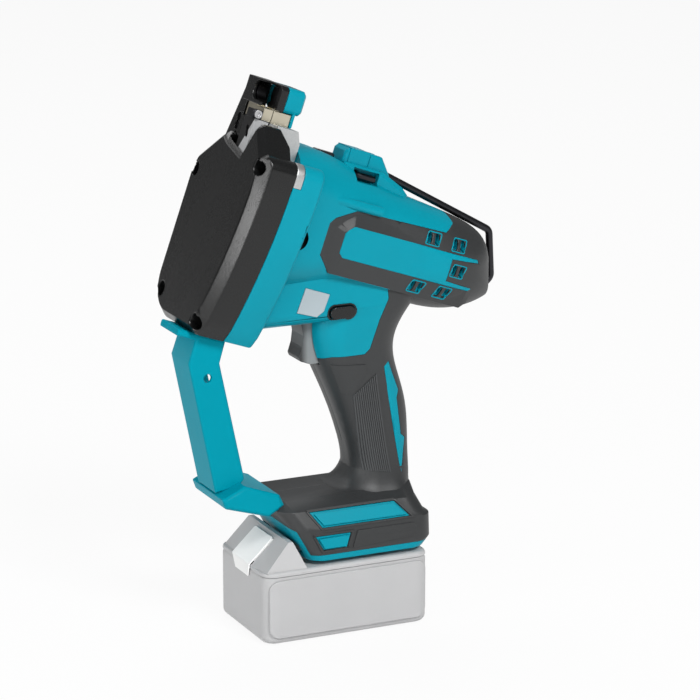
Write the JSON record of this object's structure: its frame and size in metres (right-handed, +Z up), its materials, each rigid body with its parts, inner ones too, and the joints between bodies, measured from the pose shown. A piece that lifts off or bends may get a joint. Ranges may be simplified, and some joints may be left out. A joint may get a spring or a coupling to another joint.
{
  "type": "cordless threaded rod cutter",
  "caption": "Cordless pistol-grip rod cutter with a tilted motor barrel, a lever-driven shearing head, a guard arm and a slide-on battery that it stands on.",
  "frame": {"origin": "centre of the battery's flat bottom", "axes": "+Z up, the tool's front along -X, its left side along -Y"},
  "size_m": [0.2224, 0.099, 0.3493],
  "materials": {
    "teal_plastic": "satin moulded",
    "black_plastic": "fine grain",
    "soft_skin": "matt",
    "pale_plastic": "fine grain",
    "white_plastic": "satin",
    "case_alloy": "cast",
    "tool_steel": "ground",
    "die_steel": "ground",
    "dark_steel": "blackened",
    "bare_plate": "satin",
    "contact_metal": "plain",
    "winding_stack": "stacked sheet",
    "board": "plain",
    "lens": "clear"
  },
  "bodies": {
    "housing": {"left_housing": "teal_plastic", "right_housing": "teal_plastic", "left_overmould": "soft_skin", "right_overmould": "soft_skin", "front_cover": "black_plastic", "gear_case": "case_alloy", "gear_plate": "case_alloy", "pivot_pin": "tool_steel", "cam_bearing": "contact_metal", "cluster_pin": "tool_steel", "stator": "winding_stack", "front_bearing": "tool_steel", "rear_bearing": "tool_steel", "fixed_die": "die_steel", "rod_holder": "black_plastic", "holder_screws": "dark_steel", "rod_guide": "teal_plastic", "front_guard": "teal_plastic", "guard_screws": "dark_steel", "cover_screws": "dark_steel", "housing_screws": "dark_steel", "switch": "black_plastic", "side_plate": "bare_plate", "controller": "board", "terminal_block": "black_plastic", "terminal_blades": "contact_metal", "hook_pin": "tool_steel", "lamp": "lens", "return_spring": "tool_steel"},
    "lever": {"swing_lever": "tool_steel", "movable_die": "die_steel", "die_clamp": "dark_steel", "die_bolt": "tool_steel", "roller_pin": "tool_steel"},
    "roller": {"lever_roller": "tool_steel"},
    "cam": {"camshaft": "tool_steel", "cam_gear": "tool_steel"},
    "cluster": {"cluster_gear": "tool_steel"},
    "rotor": {"rotor_shaft": "tool_steel", "rotor_magnet": "dark_steel", "fan": "black_plastic"},
    "trigger": {"trigger": "black_plastic"},
    "lock_button": {"lock_button": "black_plastic"},
    "hook": {"hook": "dark_steel"},
    "hex_wrench": {"hex_wrench": "dark_steel"},
    "battery": {"battery_case": "pale_plastic", "battery_lid": "pale_plastic", "battery_cells": "tool_steel", "battery_contacts": "contact_metal", "button_spring": "tool_steel"},
    "release_button": {"release_button": "white_plastic"}
  },
  "joints": [
    {"name": "cam_turn", "type": "hinge", "parent": "housing", "child": "cam", "pos_m": [-0.06312, -0.002, 0.23091], "axis": [0.9426, 0, -0.3338], "range_deg": [0, 250]},
    {"name": "lever_swing", "type": "hinge", "parent": "housing", "child": "lever", "pos_m": [-0.04242, 0, 0.28935], "axis": [0.9426, 0, -0.3338], "range_deg": [0, 13.1], "deforming": ["return_spring"]},
    {"name": "roller_spin", "type": "hinge", "parent": "lever", "child": "roller", "pos_m": [-0.06312, 0.016, 0.23091], "axis": [0.9426, 0, -0.3338], "continuous": true},
    {"name": "cluster_turn", "type": "hinge", "parent": "housing", "child": "cluster", "pos_m": [-0.05479, 0.01802, 0.25444], "axis": [0.9426, 0, -0.3338], "range_deg": [-1084, 0]},
    {"name": "rotor_spin", "type": "hinge", "parent": "housing", "child": "rotor", "pos_m": [-0.0491, 0, 0.2705], "axis": [0.9426, 0, -0.3338], "range_deg": [0, 4515]},
    {"name": "trigger_pull", "type": "slide", "parent": "housing", "child": "trigger", "axis": [1, 0, 0], "range_m": [0, 0.0065], "stiffness_N_per_m": 300, "springref_m": -0.002},
    {"name": "lock_push", "type": "slide", "parent": "housing", "child": "lock_button", "axis": [0, 1, 0], "range_m": [-0.0025, 0.0025]},
    {"name": "hook_swing", "type": "hinge", "parent": "housing", "child": "hook", "pos_m": [0.03238, 0, 0.2879], "axis": [0, -1, 0], "range_deg": [0, 120]},
    {"name": "wrench_out", "type": "slide", "parent": "housing", "child": "hex_wrench", "axis": [0, -1, 0], "range_m": [0, 0.025]},
    {"name": "battery_slide", "type": "slide", "parent": "housing", "child": "battery", "axis": [-1, 0, 0], "range_m": [0, 0.08]},
    {"name": "button_press", "type": "slide", "parent": "battery", "child": "release_button", "axis": [-0.7265, 0, -0.6872], "range_m": [0, 0.0026], "stiffness_N_per_m": 600, "springref_m": -0.001, "deforming": ["button_spring"]}
  ],
  "couplings": [
    {"joint": "lever_swing", "follows": "cam_turn", "ratio": 0.052},
    {"joint": "cluster_turn", "follows": "cam_turn", "ratio": -4.3333},
    {"joint": "rotor_spin", "follows": "cam_turn", "ratio": 18.056}
  ]
}
